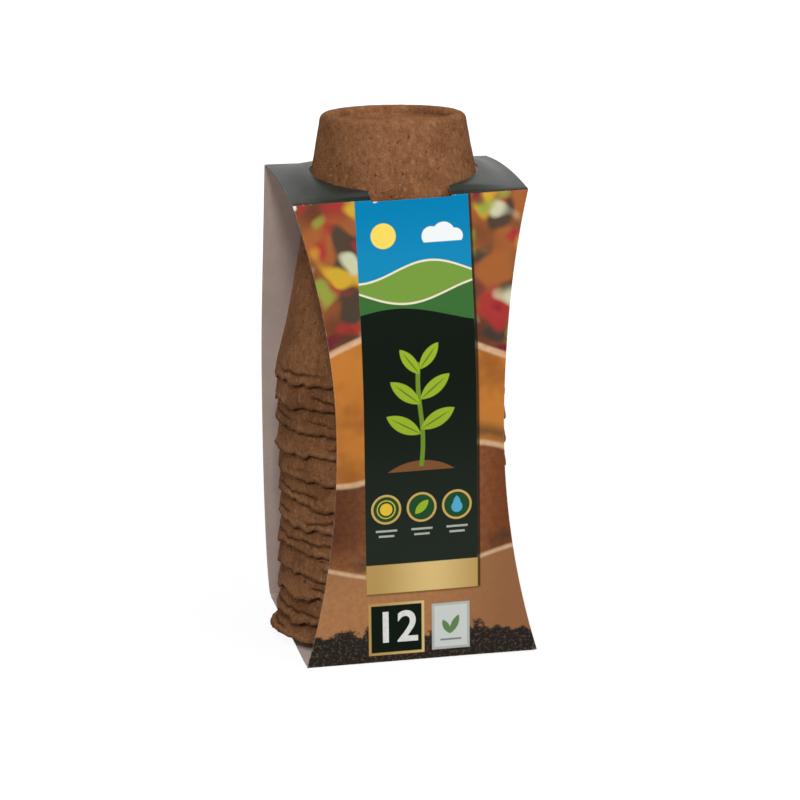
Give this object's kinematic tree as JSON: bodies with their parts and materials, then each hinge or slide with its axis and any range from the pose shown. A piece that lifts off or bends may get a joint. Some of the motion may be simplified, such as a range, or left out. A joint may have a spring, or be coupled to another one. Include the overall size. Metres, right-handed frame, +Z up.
{
  "type": "pack of fibre plant pots",
  "caption": "Retail pack of round wood-fibre plant pots, nested upside down in a waisted printed card sleeve that folds open.",
  "frame": {"origin": "middle of the sleeve's underside, on the surface that the pack stands on", "axes": "+Z up along the stack of pots, -Y out of the printed front, +X to the right of someone facing the front"},
  "size_m": [0.08, 0.0828, 0.1799],
  "materials": {
    "wood_fibre": "matt moulded wood fibre, rough and flecked",
    "printed_card": "printed carton board with a satin varnish outside and bare grey inside",
    "plain_card": "bare grey carton board"
  },
  "bodies": {
    "sleeve_base": {"bottom_panel": "plain_card", "back_panel": "printed_card", "glue_flap": "plain_card"},
    "sleeve_lid": {"top_panel": "printed_card"},
    "sleeve_front": {"front_panel": "printed_card"},
    "pot_01": {"pot_01": "wood_fibre"},
    "pot_02": {"pot_02": "wood_fibre"},
    "pot_03": {"pot_03": "wood_fibre"},
    "pot_04": {"pot_04": "wood_fibre"},
    "pot_05": {"pot_05": "wood_fibre"},
    "pot_06": {"pot_06": "wood_fibre"},
    "pot_07": {"pot_07": "wood_fibre"},
    "pot_08": {"pot_08": "wood_fibre"},
    "pot_09": {"pot_09": "wood_fibre"},
    "pot_10": {"pot_10": "wood_fibre"},
    "pot_11": {"pot_11": "wood_fibre"},
    "pot_12": {"pot_12": "wood_fibre"}
  },
  "joints": [
    {"name": "lid_fold", "type": "hinge", "parent": "sleeve_base", "child": "sleeve_lid", "pos_m": [0, 0.03118, 0.15974], "axis": [-1, 0, 0], "range_deg": [0, 100]},
    {"name": "front_fold", "type": "hinge", "parent": "sleeve_lid", "child": "sleeve_front", "pos_m": [0, -0.02987, 0.15534], "axis": [-1, 0, 0], "range_deg": [0, 110]},
    {"name": "pot_01_lift", "type": "slide", "parent": "sleeve_base", "child": "pot_01", "axis": [0, 0, 1], "range_m": [0, 0.002]},
    {"name": "pot_02_lift", "type": "slide", "parent": "sleeve_base", "child": "pot_02", "axis": [0, 0, 1], "range_m": [0, 0.0009]},
    {"name": "pot_03_lift", "type": "slide", "parent": "sleeve_base", "child": "pot_03", "axis": [0, 0, 1], "range_m": [0, 0.0009]},
    {"name": "pot_04_lift", "type": "slide", "parent": "sleeve_base", "child": "pot_04", "axis": [0, 0, 1], "range_m": [0, 0.0009]},
    {"name": "pot_05_lift", "type": "slide", "parent": "sleeve_base", "child": "pot_05", "axis": [0, 0, 1], "range_m": [0, 0.0009]},
    {"name": "pot_06_lift", "type": "slide", "parent": "sleeve_base", "child": "pot_06", "axis": [0, 0, 1], "range_m": [0, 0.0009]},
    {"name": "pot_07_lift", "type": "slide", "parent": "sleeve_base", "child": "pot_07", "axis": [0, 0, 1], "range_m": [0, 0.0009]},
    {"name": "pot_08_lift", "type": "slide", "parent": "sleeve_base", "child": "pot_08", "axis": [0, 0, 1], "range_m": [0, 0.0009]},
    {"name": "pot_09_lift", "type": "slide", "parent": "sleeve_base", "child": "pot_09", "axis": [0, 0, 1], "range_m": [0, 0.0009]},
    {"name": "pot_10_lift", "type": "slide", "parent": "sleeve_base", "child": "pot_10", "axis": [0, 0, 1], "range_m": [0, 0.0009]},
    {"name": "pot_11_lift", "type": "slide", "parent": "sleeve_base", "child": "pot_11", "axis": [0, 0, 1], "range_m": [0, 0.0009]},
    {"name": "pot_12_lift", "type": "slide", "parent": "sleeve_base", "child": "pot_12", "axis": [0, 0, 1], "range_m": [0, 0.0009]}
  ]
}
